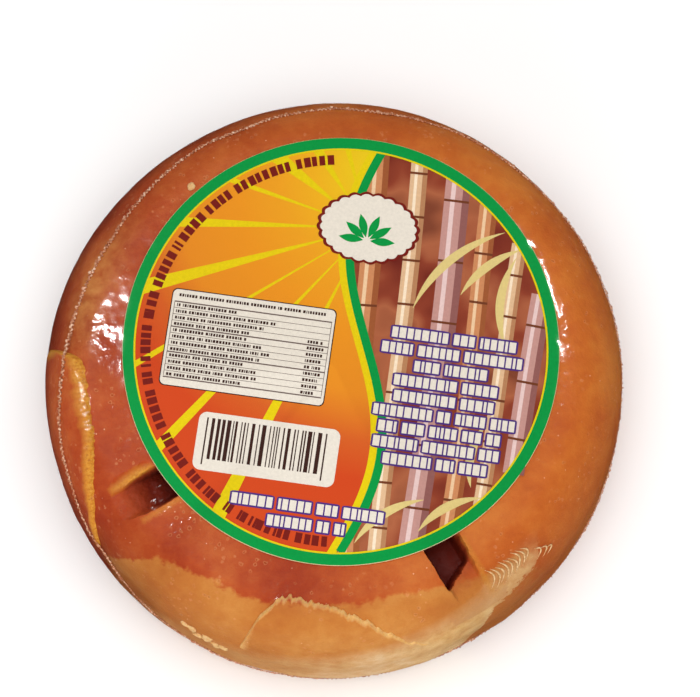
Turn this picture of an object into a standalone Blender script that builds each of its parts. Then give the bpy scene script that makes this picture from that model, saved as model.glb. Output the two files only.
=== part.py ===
"""A round cast loaf of jaggery, shrink-wrapped in clear film, with a round paper label on its top.

The loaf is one closed solid: a flat base, a nearly upright wall, a rounded shoulder and a flat
top. Two pressed grooves run out from under the label, and thin broken layers of crust lie over the
shoulder as relief. The label is a thin disc just above the top.

Frame: origin at the middle of the base, +Z up, -Y towards the side with the broken crust.
"""

import math
import random

import bmesh
import bpy
from mathutils import Vector

MM = 0.001

# Loaf: outer form
LOAF_RADIUS = 59.0 * MM        # widest radius, low on the wall
LOAF_HEIGHT = 36.0 * MM
TOP_RADIUS = 46.0 * MM         # edge of the flat top
SHOULDER_FOOT = 17.0 * MM      # height where the shoulder runs into the wall
WALL_DRAFT = 0.6 * MM          # how much the wall leans in up to the shoulder
BASE_EDGE_HEIGHT = 6.0 * MM    # the rounded lower edge
BASE_EDGE_INSET = 1.6 * MM
SWELL_TWO = 0.28 * MM          # slight ovalness of the cast loaf
SWELL_FOUR = 0.12 * MM

# Short flats on the wall: direction in degrees, depth of the flat
WALL_FLATS = [(189.0, 0.6 * MM), (298.0, 1.0 * MM), (313.0, 0.6 * MM)]

# Mesh fineness
SIDES = 96
RING_STEP = 2.0 * MM           # spacing of the loaf's rings down its profile
PROFILE_STEPS = 48             # points on each curved part of the profile

# Grooves: they meet under the label, at right angles
GROOVE_MEETING = Vector((2.0 * MM, -2.4 * MM))
GROOVE_DEPTH = 7.0 * MM
GROOVE_TOP_WIDTH = 8.0 * MM
GROOVE_FLOOR_WIDTH = 4.0 * MM
GROOVE_PAST_MEETING = 2.0 * MM
CUTTER_HEADROOM = 3.0 * MM     # how far a cutter stands above the top
# Direction in degrees, where the floor starts to rise, where it ends, floor height at the end
GROOVES = {
    "groove_left": (211.0, 38.0 * MM, 51.0 * MM, LOAF_HEIGHT + 0.5 * MM),
    "groove_right": (301.0, 38.0 * MM, 58.0 * MM, LOAF_HEIGHT - 3.5 * MM),
}

# Crust layers: thin broken sheets over the shoulder. Angles in degrees; drops are distances down
# the profile from the edge of the flat top. A layer's upper edge is nearest the top at its peak
# and falls away to both ends, bluntly where the power is high.
CRUST_LAYERS = {
    "crust_left": {
        "start": 174.5, "peak": 190.0, "end": 216.5, "start_power": 6.0, "end_power": 3.0,
        "upper_drop": 1.2 * MM, "end_drop": 20.0 * MM, "thickness": 1.5 * MM, "seed": 3,
    },
    "crust_front": {
        "start": 250.5, "peak": 263.0, "end": 292.0, "start_power": 5.0, "end_power": 2.2,
        "upper_drop": 1.2 * MM, "end_drop": 22.0 * MM, "thickness": 1.2 * MM, "seed": 8,
    },
    "crust_right": {
        "start": 293.0, "peak": 309.0, "end": 318.5, "start_power": 2.0, "end_power": 4.0,
        "upper_drop": 7.0 * MM, "end_drop": 24.0 * MM, "thickness": 0.8 * MM, "seed": 5,
    },
}
CRUST_LOWER_DROP = 30.0 * MM   # where every layer has thinned away into the wall
CRUST_FADE_DROP = 11.0 * MM    # where it starts to thin
CRUST_ROOT = 1.6 * MM          # how far a layer reaches into the loaf, so that the two fuse
CRUST_COLUMN_STEP = 1.25       # degrees between a layer's columns
CRUST_ROWS = 8
CRUST_RAGGED = 0.55 * MM       # raggedness of its upper edge

# Label
LABEL_RADIUS = 43.2 * MM
LABEL_CENTRE = Vector((1.5 * MM, 3.2 * MM))
LABEL_THICKNESS = 0.4 * MM
LABEL_GAP = 0.3 * MM
LABEL_SIDES = 96


def clear_scene():
    for old in list(bpy.data.objects):
        bpy.data.objects.remove(old, do_unlink=True)


def material(name, colour, roughness, metallic=0.0):
    made = bpy.data.materials.new(name)
    made.use_nodes = True
    shader = made.node_tree.nodes["Principled BSDF"]
    shader.inputs["Base Color"].default_value = (*colour, 1.0)
    shader.inputs["Roughness"].default_value = roughness
    shader.inputs["Metallic"].default_value = metallic
    return made


def object_from(name, mesh_builder, finish=None):
    """Closes the bmesh off with outward faces and links it as an object."""
    bmesh.ops.recalc_face_normals(mesh_builder, faces=mesh_builder.faces)
    mesh = bpy.data.meshes.new(name)
    mesh_builder.to_mesh(mesh)
    mesh_builder.free()
    made = bpy.data.objects.new(name, mesh)
    bpy.context.scene.collection.objects.link(made)
    if finish:
        mesh.materials.append(finish)
    return made


def profile_points():
    """The loaf's side from the edge of the flat top down to the base, as (radius, height)."""
    wall_top = LOAF_RADIUS - WALL_DRAFT
    points = []
    for step in range(PROFILE_STEPS + 1):
        turn = math.pi / 2 * step / PROFILE_STEPS
        points.append((
            TOP_RADIUS + (wall_top - TOP_RADIUS) * math.sin(turn),
            SHOULDER_FOOT + (LOAF_HEIGHT - SHOULDER_FOOT) * math.cos(turn),
        ))
    for step in range(PROFILE_STEPS + 1):
        turn = math.pi / 2 * step / PROFILE_STEPS
        points.append((
            LOAF_RADIUS - BASE_EDGE_INSET * (1 - math.cos(turn)),
            BASE_EDGE_HEIGHT * (1 - math.sin(turn)),
        ))
    return points


def profile_lengths(points):
    lengths = [0.0]
    for (r0, z0), (r1, z1) in zip(points, points[1:]):
        lengths.append(lengths[-1] + math.hypot(r1 - r0, z1 - z0))
    return lengths


PROFILE = profile_points()
DROPS = profile_lengths(PROFILE)


def profile_at(drop):
    """Radius, height and outward normal on the side, at a distance down from the flat top."""
    drop = min(max(drop, 0.0), DROPS[-1])
    for index in range(1, len(DROPS)):
        if DROPS[index] >= drop and DROPS[index] > DROPS[index - 1]:
            break
    (r0, z0), (r1, z1) = PROFILE[index - 1], PROFILE[index]
    length = DROPS[index] - DROPS[index - 1]
    share = (drop - DROPS[index - 1]) / length
    normal = ((z0 - z1) / length, (r1 - r0) / length)
    return r0 + (r1 - r0) * share, z0 + (z1 - z0) * share, normal


def plan_radius(radius, angle):
    """The radius with the loaf's slight ovalness and its short flats, at an angle in radians."""
    swell = SWELL_TWO * math.sin(2 * angle + 0.6) + SWELL_FOUR * math.sin(4 * angle + 2.1)
    radius += swell * radius / LOAF_RADIUS
    for direction, depth in WALL_FLATS:
        away = math.cos(angle - math.radians(direction))
        if away > 0.9:
            radius = min(radius, (LOAF_RADIUS - depth) / away)
    return radius


def skin(angle, drop, lift=0.0):
    """A point on the loaf's side, lifted off it along the profile's normal."""
    radius, height, normal = profile_at(drop)
    radius = plan_radius(radius, angle) + lift * normal[0]
    return Vector((radius * math.cos(angle), radius * math.sin(angle), height + lift * normal[1]))


def build_loaf(finish):
    """The cast loaf without its grooves and crust: rings down the side, closed by base and top."""
    rings = round(DROPS[-1] / RING_STEP)
    shape = bmesh.new()
    rows = []
    for ring in range(rings + 1):
        drop = DROPS[-1] * ring / rings
        rows.append([
            shape.verts.new(skin(math.tau * side / SIDES, drop))
            for side in range(SIDES)
        ])
    for upper, lower in zip(rows, rows[1:]):
        for side in range(SIDES):
            after = (side + 1) % SIDES
            shape.faces.new((upper[side], lower[side], lower[after], upper[after]))
    shape.faces.new(rows[0])
    shape.faces.new(list(reversed(rows[-1])))
    return object_from("jaggery_block", shape, finish)


def crust_upper_drop(layer, degrees, ragged):
    """Where the layer's upper edge lies at an angle, with its ragged breaks."""
    if degrees < layer["peak"]:
        share = (layer["peak"] - degrees) / (layer["peak"] - layer["start"])
        power = layer["start_power"]
    else:
        share = (degrees - layer["peak"]) / (layer["end"] - layer["peak"])
        power = layer["end_power"]
    fall = (layer["end_drop"] - layer["upper_drop"]) * share ** power
    return layer["upper_drop"] + fall + ragged.uniform(-CRUST_RAGGED, CRUST_RAGGED)


def crust_lift(layer, drop):
    """The layer's thickness, which thins away down the wall."""
    fade = (drop - CRUST_FADE_DROP) / (CRUST_LOWER_DROP - CRUST_FADE_DROP)
    fade = min(max(fade, 0.0), 1.0)
    return layer["thickness"] * (1 - fade) - 0.4 * CRUST_ROOT * fade


def build_crust(name, layer):
    """A thin sheet that follows the shoulder, rooted in the loaf, with a ragged upper edge."""
    ragged = random.Random(layer["seed"])
    columns = round((layer["end"] - layer["start"]) / CRUST_COLUMN_STEP)
    shape = bmesh.new()
    outer = []
    inner = []
    for column in range(columns + 1):
        degrees = layer["start"] + (layer["end"] - layer["start"]) * column / columns
        angle = math.radians(degrees)
        upper = crust_upper_drop(layer, degrees, ragged)
        drops = [upper + (CRUST_LOWER_DROP - upper) * row / CRUST_ROWS for row in range(CRUST_ROWS + 1)]
        outer.append([shape.verts.new(skin(angle, d, crust_lift(layer, d))) for d in drops])
        inner.append([shape.verts.new(skin(angle, d, -CRUST_ROOT)) for d in drops])
    for left, right in zip(range(columns), range(1, columns + 1)):
        for row in range(CRUST_ROWS):
            shape.faces.new((outer[left][row], outer[left][row + 1], outer[right][row + 1], outer[right][row]))
            shape.faces.new((inner[left][row], inner[right][row], inner[right][row + 1], inner[left][row + 1]))
        shape.faces.new((outer[left][0], outer[right][0], inner[right][0], inner[left][0]))
        shape.faces.new((outer[left][-1], inner[left][-1], inner[right][-1], outer[right][-1]))
    for row in range(CRUST_ROWS):
        shape.faces.new((outer[0][row], inner[0][row], inner[0][row + 1], outer[0][row + 1]))
        shape.faces.new((outer[-1][row], outer[-1][row + 1], inner[-1][row + 1], inner[-1][row]))
    return object_from(name, shape)


def groove_section(direction, along, floor_height):
    """One cross section of a groove's cutter: floor, slanted walls, and headroom above the top."""
    ahead = Vector((math.cos(direction), math.sin(direction)))
    aside = Vector((-ahead.y, ahead.x))
    centre = GROOVE_MEETING + ahead * along
    spread = (GROOVE_TOP_WIDTH - GROOVE_FLOOR_WIDTH) / 2 / GROOVE_DEPTH
    top_height = LOAF_HEIGHT + CUTTER_HEADROOM
    half_top = GROOVE_TOP_WIDTH / 2 + spread * CUTTER_HEADROOM
    half_floor = half_top - spread * (top_height - floor_height)
    corners = [(-half_top, top_height), (-half_floor, floor_height), (half_floor, floor_height), (half_top, top_height)]
    return [Vector((*(centre + aside * across), height)) for across, height in corners]


def build_groove_cutter(name, degrees, rise_start, end, end_height):
    """A slanted trough that rises to the surface at its outer end."""
    direction = math.radians(degrees)
    floor = LOAF_HEIGHT - GROOVE_DEPTH
    stations = [(-GROOVE_PAST_MEETING, floor), (rise_start, floor), (end, end_height)]
    shape = bmesh.new()
    sections = [
        [shape.verts.new(corner) for corner in groove_section(direction, along, height)]
        for along, height in stations
    ]
    for near, far in zip(sections, sections[1:]):
        for side in range(4):
            after = (side + 1) % 4
            shape.faces.new((near[side], near[after], far[after], far[side]))
    shape.faces.new(sections[0])
    shape.faces.new(list(reversed(sections[-1])))
    return object_from(name, shape)


def combine(target, others, operation, name):
    """Fuses objects to the target, or cuts them from it, and removes them."""
    group = bpy.data.collections.new(name)
    bpy.context.scene.collection.children.link(group)
    for other in others:
        bpy.context.scene.collection.objects.unlink(other)
        group.objects.link(other)
    change = target.modifiers.new(name, "BOOLEAN")
    change.operation = operation
    change.operand_type = "COLLECTION"
    change.collection = group
    change.solver = "EXACT"
    bpy.context.view_layer.objects.active = target
    bpy.ops.object.modifier_apply(modifier=change.name)
    for other in others:
        bpy.data.objects.remove(other, do_unlink=True)
    bpy.data.collections.remove(group)


def build_label(finish):
    """The round paper label: a thin flat disc that lies just above the loaf's top."""
    shape = bmesh.new()
    bmesh.ops.create_cone(
        shape, cap_ends=True, segments=LABEL_SIDES,
        radius1=LABEL_RADIUS, radius2=LABEL_RADIUS, depth=LABEL_THICKNESS,
    )
    label = object_from("label", shape, finish)
    label.location = (*LABEL_CENTRE, LOAF_HEIGHT + LABEL_GAP + LABEL_THICKNESS / 2)
    return label


def main():
    clear_scene()
    jaggery = material("jaggery_in_clear_film", (0.42, 0.10, 0.025), 0.28)
    paper = material("printed_label_paper", (0.80, 0.28, 0.03), 0.35)

    block = build_loaf(jaggery)
    layers = [build_crust(name, layer) for name, layer in CRUST_LAYERS.items()]
    combine(block, layers, "UNION", "crust")
    cutters = [build_groove_cutter(name, *sizes) for name, sizes in GROOVES.items()]
    combine(block, cutters, "DIFFERENCE", "grooves")
    block.data.shade_smooth()
    block.data.set_sharp_from_angle(angle=math.radians(35))

    label = build_label(paper)
    label.data.shade_smooth()
    label.data.set_sharp_from_angle(angle=math.radians(35))


main()
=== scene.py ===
"""Looks of a round loaf of jaggery in clear shrink film, with a round printed paper label."""
import math
import random

import bpy
import numpy as np
from mathutils import Matrix, Vector, noise


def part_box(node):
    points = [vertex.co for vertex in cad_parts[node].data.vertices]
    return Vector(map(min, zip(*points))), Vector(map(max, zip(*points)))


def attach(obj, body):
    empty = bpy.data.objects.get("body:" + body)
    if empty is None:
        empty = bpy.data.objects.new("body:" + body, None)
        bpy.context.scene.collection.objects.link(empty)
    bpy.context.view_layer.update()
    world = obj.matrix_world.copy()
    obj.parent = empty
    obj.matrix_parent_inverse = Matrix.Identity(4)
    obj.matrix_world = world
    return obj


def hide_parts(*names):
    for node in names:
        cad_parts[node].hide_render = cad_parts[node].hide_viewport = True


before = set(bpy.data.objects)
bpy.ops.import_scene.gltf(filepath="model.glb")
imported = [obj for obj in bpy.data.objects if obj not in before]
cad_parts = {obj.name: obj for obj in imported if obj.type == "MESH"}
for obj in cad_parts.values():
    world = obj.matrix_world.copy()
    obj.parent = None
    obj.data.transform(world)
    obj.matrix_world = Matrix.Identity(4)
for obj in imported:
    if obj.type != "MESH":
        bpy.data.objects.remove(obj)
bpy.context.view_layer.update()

MM = 0.001

# The loaf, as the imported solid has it
LOAF_RADIUS = 59.0 * MM
LOAF_HEIGHT = 36.0 * MM
TOP_RADIUS = 46.0 * MM
SHOULDER_FOOT = 17.0 * MM
WALL_DRAFT = 0.6 * MM
BASE_EDGE_HEIGHT = 6.0 * MM
BASE_EDGE_INSET = 1.6 * MM
SWELL_TWO = 0.28 * MM
SWELL_FOUR = 0.12 * MM
WALL_FLATS = [(189.0, 0.6 * MM), (298.0, 1.0 * MM), (313.0, 0.6 * MM)]
BASE_GAP = 0.15 * MM           # the loaf's base over the film's
DEGREE_ARC = math.radians(1) * LOAF_RADIUS

# The spun loaf: turns, and its rings on the top and the base in millimetres
LOAF_STEPS = 640
LOAF_TOP_RINGS = (0, 14, 28, 34, 37, 39, 40, 41, 42, 43, 43.6, 44.2, 44.8, 45.4)
LOAF_BASE_RINGS = (57.2, 55, 52, 44, 30, 15, 0)
LOAF_FINE_DROP = 27

# The pressed grooves, which meet under the label. Each is measured in millimetres along its run
# from their meeting and across it, positive to the left of the run
GROOVE_MEETING = np.array([2.0 * MM, -2.4 * MM])
GROOVE_LEFT_RUN = math.radians(211)
GROOVE_RIGHT_RUN = math.radians(301)
GROOVE_START = -3.0
GROOVE_OPEN = 34.0             # where a groove comes out from under the label
GROOVE_LEFT_END = 53.5
GROOVE_RIGHT_END = 56.5
GROOVE_REACH = 54.0
GROOVE_SIDE = 6.5
CUTTER_WIDTH = 13.2
CUTTER_ASIDE = 0.9
CUTTER_HEIGHT = 14.0 * MM

# The broken sheets of crust that lie over the shoulder. Angles in degrees, drops down the profile
CRUST_LAYERS = {
    "crust_left": {
        "start": 174.5, "peak": 190.0, "end": 216.5, "start_power": 8.0, "end_power": 2.6,
        "upper_drop": 2.5 * MM, "end_drop": 18.0 * MM, "thickness": 1.3 * MM, "slope": 3.4 * MM,
        "narrowing": 0.62, "rise_power": 2.6, "jag": 0.5, "side_start": 0.4 * MM, "side_rim": 1.0,
        "pale": 0.0, "seed": 3.0,
    },
    "crust_front": {
        "start": 250.5, "peak": 263.0, "end": 292.0, "start_power": 5.0, "end_power": 2.2,
        "upper_drop": 1.2 * MM, "end_drop": 22.0 * MM, "thickness": 0.6 * MM, "slope": 1.1 * MM,
        "narrowing": 1.0, "rise_power": 1.5, "jag": 1.1, "side_start": 0.05 * MM, "side_rim": 0.5,
        "pale": 1.0, "seed": 8.0,
    },
}
CRUST_LOWER_DROP = 26.0 * MM
CRUST_FADE_DROP = 8.0 * MM
CRUST_ROOT = 0.25 * MM
CRUST_SUNK_EDGE = 0.55 * MM
CRUST_ROWS = 92
CRUST_COLUMNS_PER_DEGREE = 4.6
CRUMB_COUNT = 9

# The label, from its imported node
LABEL_LOW, LABEL_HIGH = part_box("label")
LABEL_CENTRE = Vector(((LABEL_LOW[0] + LABEL_HIGH[0]) / 2, (LABEL_LOW[1] + LABEL_HIGH[1]) / 2))
LABEL_RADIUS = (LABEL_HIGH[0] - LABEL_LOW[0]) / 2
LABEL_TURN = math.radians(-8.0)
PAPER_TOP = LABEL_HIGH[2] - 0.15 * MM
PAPER_EDGE = 0.05 * MM
PAPER_EDGE_DROP = 0.04 * MM
INK_STEP = 0.013 * MM          # height of one printed layer over the next
INK_THICKNESS = 0.009 * MM
INK_ROUGHNESS = 0.38
INK_SHEEN = 0.05
RING_INNER = 40.95 * MM
RING_OUTER = 43.12 * MM
RING_YELLOW = 0.35 * MM
DISC_REACH = 41.8 * MM
SUN = Vector((2.0 * MM, 25.0 * MM))

# Film: its grid, and how far a ray to it starts from the loaf
FILM_GAP = 0.06 * MM
FILM_COLUMNS = 480
FILM_TOP_ROWS = 74
FILM_SIDE_ROWS = 96
FILM_PULLS = 70
FILM_BASE = 0.02 * MM
FILM_BASE_RINGS = (56.6, 55, 52, 48, 43, 37, 30, 23, 16, 10, 6, 3, 1.2)
RAY_START = 6.0 * MM
SEAL_COUNT = 3200
PLEAT_STEPS = 14
PLEAT_HALF_WIDTH = 0.22 * MM
PLEAT_HEIGHT = 0.16 * MM

# Light and camera. A lamp has its place, width, height, power and whether it lights or glints
LAMPS = {
    "softbox_overhead": ((0.0, -0.08, 1.3), 1.5, 1.5, 15.0, True),
    "softbox_front": ((-0.1, -1.0, 0.3), 0.9, 0.45, 3.8, True),
    "glint_left": ((-0.42, 0.19, 0.83), 0.10, 0.30, 4.2, False),
    "glint_right": ((0.36, 0.3, 0.87), 0.09, 0.12, 1.6, False),
}
WORLD_STRENGTH = 0.42
FLOOR_SIZE = 6.0
CAMERA_ELEVATION = math.radians(78)
CAMERA_DISTANCE = 0.56
CAMERA_TARGET = Vector((3.3 * MM, 7.1 * MM, LOAF_HEIGHT / 2))
CAMERA_LENS = 140.9
CAMERA_SENSOR = 36.0
CAMERA_CLIP = 0.01


# Colour and node helpers
def srgb(code):
    """An sRGB hex colour as linear RGBA."""
    parts = [int(code[start:start + 2], 16) / 255 for start in (1, 3, 5)]
    linear = [p / 12.92 if p <= 0.04045 else ((p + 0.055) / 1.055) ** 2.4 for p in parts]
    return (*linear, 1.0)


class Paint:
    """A node material, built by short calls that each return a node's main output."""

    def __init__(self, name):
        self.made = bpy.data.materials.new(name)
        self.made.use_nodes = True
        self.tree = self.made.node_tree
        self.tree.nodes.clear()
        self.surface = self.tree.nodes.new("ShaderNodeOutputMaterial").inputs["Surface"]
        self.place = self.add("ShaderNodeTexCoord").outputs["Object"]

    def add(self, kind, links=None, stops=None, **settings):
        """Adds a node with its settings, its values or links by input, and a ramp's stops."""
        node = self.tree.nodes.new(kind)
        for name, value in settings.items():
            setattr(node, name, value)
        for name, source in (links or {}).items():
            if isinstance(source, bpy.types.NodeSocket):
                self.tree.links.new(source, node.inputs[name])
            else:
                node.inputs[name].default_value = source
        if stops:
            while len(node.color_ramp.elements) < len(stops):
                node.color_ramp.elements.new(0.5)
            for element, (position, colour) in zip(node.color_ramp.elements, stops):
                element.position = position
                element.color = srgb(colour)
        return node

    def attribute(self, name):
        return self.add("ShaderNodeAttribute", attribute_name=name).outputs["Fac"]

    def noise(self, size, detail, roughness=0.5, output="Fac"):
        """Cloudy noise with features of a given size."""
        return self.add("ShaderNodeTexNoise", {
            "Vector": self.place, "Scale": 1 / size, "Detail": detail, "Roughness": roughness,
        }).outputs[output]

    def cells(self, vector, size):
        """Distance to the middle of scattered cells of a given size."""
        return self.add("ShaderNodeTexVoronoi", {
            "Vector": vector, "Scale": 1 / size, "Randomness": 1.0,
        }).outputs["Distance"]

    def math(self, operation, first, second, third=0.0, clamp=False):
        return self.add(
            "ShaderNodeMath", {0: first, 1: second, 2: third}, operation=operation, use_clamp=clamp,
        ).outputs[0]

    def product(self, first, second):
        return self.math("MULTIPLY", first, second)

    def vary(self, value, pattern, amount):
        """A value pushed up and down by a pattern round its middle."""
        return self.math("MULTIPLY_ADD", self.math("SUBTRACT", pattern, 0.5), amount, value)

    def share(self, value, low, high, least=0.0, most=1.0):
        """Where a value lies from low to high, as a clamped share from least to most."""
        return self.add("ShaderNodeMapRange", {
            "Value": value, "From Min": low, "From Max": high, "To Min": least, "To Max": most,
        }).outputs[0]

    def blend(self, share, first, second):
        """Mixes a share of the second colour, a socket or a hex code, into the first."""
        second = srgb(second) if isinstance(second, str) else second
        return self.add("ShaderNodeMix", {0: share, 6: first, 7: second}, data_type="RGBA").outputs[2]

    def ramp(self, value, stops):
        return self.add("ShaderNodeValToRGB", {"Fac": value}, stops=stops).outputs[0]

    def bump(self, height, strength, distance):
        return self.add("ShaderNodeBump", {
            "Height": height, "Strength": strength, "Distance": distance,
        }).outputs[0]

    def principled(self, links):
        return self.add("ShaderNodeBsdfPrincipled", links).outputs[0]

    def see_through(self, share, shader):
        """A skin of which only a share shows, the rest being clear."""
        clear = self.add("ShaderNodeBsdfTransparent").outputs[0]
        return self.add("ShaderNodeMixShader", {0: share, 1: clear, 2: shader}).outputs[0]

    def finish(self, shader):
        self.tree.links.new(shader, self.surface)
        return self.made

    def finish_ink(self, colour):
        return self.finish(self.principled({
            "Base Color": colour, "Roughness": INK_ROUGHNESS, "Specular IOR Level": INK_SHEEN,
        }))


# Modelling helpers
def deselect():
    bpy.ops.object.select_all(action="DESELECT")


def make_active(piece):
    deselect()
    piece.select_set(True)
    bpy.context.view_layer.objects.active = piece


def named(name):
    """Names the object that an operator has just added, and its mesh."""
    piece = bpy.context.object
    piece.name = name
    piece.data.name = name
    return piece


def apply_modifier(piece, kind, **settings):
    modifier = piece.modifiers.new(kind.lower(), kind)
    for name, value in settings.items():
        setattr(modifier, name, value)
    make_active(piece)
    bpy.ops.object.modifier_apply(modifier=modifier.name)
    return piece


def edit(piece, *steps):
    """Runs edit-mode steps, each a function and its settings, each on the whole mesh."""
    make_active(piece)
    bpy.ops.object.mode_set(mode="EDIT")
    for step, settings in steps:
        bpy.ops.mesh.select_all(action="SELECT")
        step(**settings)
    bpy.ops.object.mode_set(mode="OBJECT")


FACE_OUTWARD = (bpy.ops.mesh.normals_make_consistent, {"inside": False})


def smooth_shaded(piece, degrees=None):
    """Smooth shading, all over or up to an angle between faces."""
    make_active(piece)
    if degrees is None:
        bpy.ops.object.shade_smooth()
    else:
        bpy.ops.object.shade_smooth_by_angle(angle=math.radians(degrees))
    return piece


def copy_of(piece):
    """A copy of an object with a mesh of its own."""
    copy = piece.copy()
    copy.data = piece.data.copy()
    bpy.context.scene.collection.objects.link(copy)
    return copy


def join(pieces, name):
    deselect()
    for piece in pieces:
        piece.select_set(True)
    bpy.context.view_layer.objects.active = pieces[0]
    bpy.ops.object.join()
    return named(name)


def built(name, corners, faces):
    """An object from its corners and faces."""
    mesh = bpy.data.meshes.new(name)
    mesh.from_pydata(corners, [], faces)
    piece = bpy.data.objects.new(name, mesh)
    bpy.context.scene.collection.objects.link(piece)
    return piece


def tube(name, rings, closed=False):
    """A skin over rings of corners that closes on itself or is capped at its ends."""
    count, sides = len(rings), len(rings[0])
    faces = []
    for index in range(count if closed else count - 1):
        here, after = index * sides, (index + 1) % count * sides
        for side in range(sides):
            turn = (side + 1) % sides
            faces.append((here + side, after + side, after + turn, here + turn))
    if not closed:
        last = (count - 1) * sides
        faces += [tuple(reversed(range(sides))), tuple(range(last, last + sides))]
    piece = built(name, [corner for ring in rings for corner in ring], faces)
    edit(piece, FACE_OUTWARD)
    return smooth_shaded(piece)


def grid(name, columns, rows):
    """A unit grid with its places, to be laid on a surface."""
    deselect()
    bpy.ops.mesh.primitive_grid_add(x_subdivisions=columns, y_subdivisions=rows, size=1)
    piece = named(name)
    return piece, vertices_of(piece)


def vertices_of(piece):
    flat = np.empty(len(piece.data.vertices) * 3)
    piece.data.vertices.foreach_get("co", flat)
    return flat.reshape(-1, 3)


def move_vertices(piece, places):
    flat = np.ascontiguousarray(places, dtype=np.float32).ravel()
    piece.data.vertices.foreach_set("co", flat)
    piece.data.update()


def store(piece, values_by_name):
    """Keeps values of the vertices as attributes for the materials."""
    for name, values in values_by_name.items():
        layer = piece.data.attributes.new(name, "FLOAT", "POINT")
        layer.data.foreach_set("value", values.astype(np.float32))


def spun(name, outline, steps):
    """Draws half an outline as a chain of (radius, height) points and spins it round +Z."""
    deselect()
    bpy.ops.mesh.primitive_plane_add(size=MM, location=(outline[0][0], 0, outline[0][1]))
    piece = named(name)
    bpy.ops.object.transform_apply(location=True)
    bpy.ops.object.mode_set(mode="EDIT")
    bpy.ops.mesh.select_all(action="SELECT")
    bpy.ops.mesh.merge(type="CENTER")
    for (r0, z0), (r1, z1) in zip(outline, outline[1:]):
        step = (r1 - r0, 0, z1 - z0)
        bpy.ops.mesh.extrude_vertices_move(TRANSFORM_OT_translate={"value": step})
    bpy.ops.mesh.select_all(action="SELECT")
    bpy.ops.mesh.spin(steps=steps, angle=math.tau, center=(0, 0, 0), axis=(0, 0, 1))
    bpy.ops.object.mode_set(mode="OBJECT")
    edit(piece, (bpy.ops.mesh.remove_doubles, {"threshold": 0.001 * MM}), FACE_OUTWARD)
    return smooth_shaded(piece)


# Shares and patterns on arrays
def rise(value, start, width):
    """0 up to a start, 1 from a width past it, and straight between."""
    return np.clip((value - start) / width, 0, 1)


def smooth(low, high, value):
    """A smooth step from 0 to 1 between two values."""
    share = rise(value, low, high - low)
    return share * share * (3 - 2 * share)


def between(value, low, full, waning, high):
    """1 from full to waning, 0 below low and above high, and smooth between."""
    return smooth(low, full, value) * (1 - smooth(waning, high, value))


def grain(places, size, seed=0.0, octaves=3):
    """Smooth noise from -1 to 1 at points, with features of a given size."""
    shift = Vector((seed * 17.3, seed * 5.1, seed * 9.7))
    return np.array([
        noise.fractal(Vector(p) / size + shift, 0.8, 2.0, octaves) for p in places.tolist()
    ])


def radius_of(places):
    return np.hypot(places[:, 0], places[:, 1])


# The loaf's side as a profile
def profile_table():
    """Points down the side from the edge of the flat top to the base, and their distances."""
    wall_top = LOAF_RADIUS - WALL_DRAFT
    turns = np.linspace(0, math.pi / 2, 121)
    shoulder_r = TOP_RADIUS + (wall_top - TOP_RADIUS) * np.sin(turns)
    shoulder_z = SHOULDER_FOOT + (LOAF_HEIGHT - SHOULDER_FOOT) * np.cos(turns)
    edge_r = LOAF_RADIUS - BASE_EDGE_INSET * (1 - np.cos(turns))
    edge_z = BASE_EDGE_HEIGHT * (1 - np.sin(turns))
    radii = np.concatenate([shoulder_r, edge_r])
    heights = np.concatenate([shoulder_z, edge_z])
    drops = np.concatenate([[0], np.cumsum(np.hypot(np.diff(radii), np.diff(heights)))])
    drops = np.concatenate([[-TOP_RADIUS], drops])
    radii = np.concatenate([[0], radii])
    heights = np.concatenate([[LOAF_HEIGHT], heights])
    return drops, radii, heights


DROPS, RADII, HEIGHTS = profile_table()
TOP_AND_SHOULDER = slice(0, 122)


def profile_points(drops):
    """Points of the profile at drops down it, as (radius, height)."""
    return list(zip(np.interp(drops, DROPS, RADII).tolist(), np.interp(drops, DROPS, HEIGHTS).tolist()))


def surface_height(radius):
    """Height of the uncut top and shoulder at a radius."""
    return np.interp(radius, RADII[TOP_AND_SHOULDER], HEIGHTS[TOP_AND_SHOULDER])


def plan_radius(radius, angle):
    """The radius with the loaf's slight ovalness and its short flats."""
    swell = SWELL_TWO * np.sin(2 * angle + 0.6) + SWELL_FOUR * np.sin(4 * angle + 2.1)
    radius = radius + swell * radius / LOAF_RADIUS
    for direction, depth in WALL_FLATS:
        away = np.cos(angle - math.radians(direction))
        flat = np.where(away > 0.9, (LOAF_RADIUS - depth) / np.maximum(away, 0.9), 1.0)
        radius = np.minimum(radius, flat)
    return radius


def skin(angle, drop, lift=0.0):
    """Points on the loaf's side at angles and drops, lifted off it, as rows of x, y, z."""
    radius = np.interp(drop, DROPS, RADII)
    height = np.interp(drop, DROPS, HEIGHTS)
    step = 0.2 * MM
    dr = np.interp(drop + step, DROPS, RADII) - np.interp(drop - step, DROPS, RADII)
    dz = np.interp(drop + step, DROPS, HEIGHTS) - np.interp(drop - step, DROPS, HEIGHTS)
    length = np.hypot(dr, dz)
    radius = plan_radius(radius, angle) - lift * dz / length
    height = height + lift * dr / length
    return np.stack([radius * np.cos(angle), radius * np.sin(angle), height], axis=-1)


def polar_of(places):
    """Angle in degrees and drop of points on or near the loaf's side."""
    degrees = np.degrees(np.arctan2(places[:, 1], places[:, 0])) % 360
    by_height = np.interp(-places[:, 2], -HEIGHTS[1:], DROPS[1:])
    by_radius = np.interp(radius_of(places), RADII[TOP_AND_SHOULDER], DROPS[TOP_AND_SHOULDER])
    return degrees, np.where(places[:, 2] > LOAF_HEIGHT - 3 * MM, by_radius, by_height)


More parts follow.
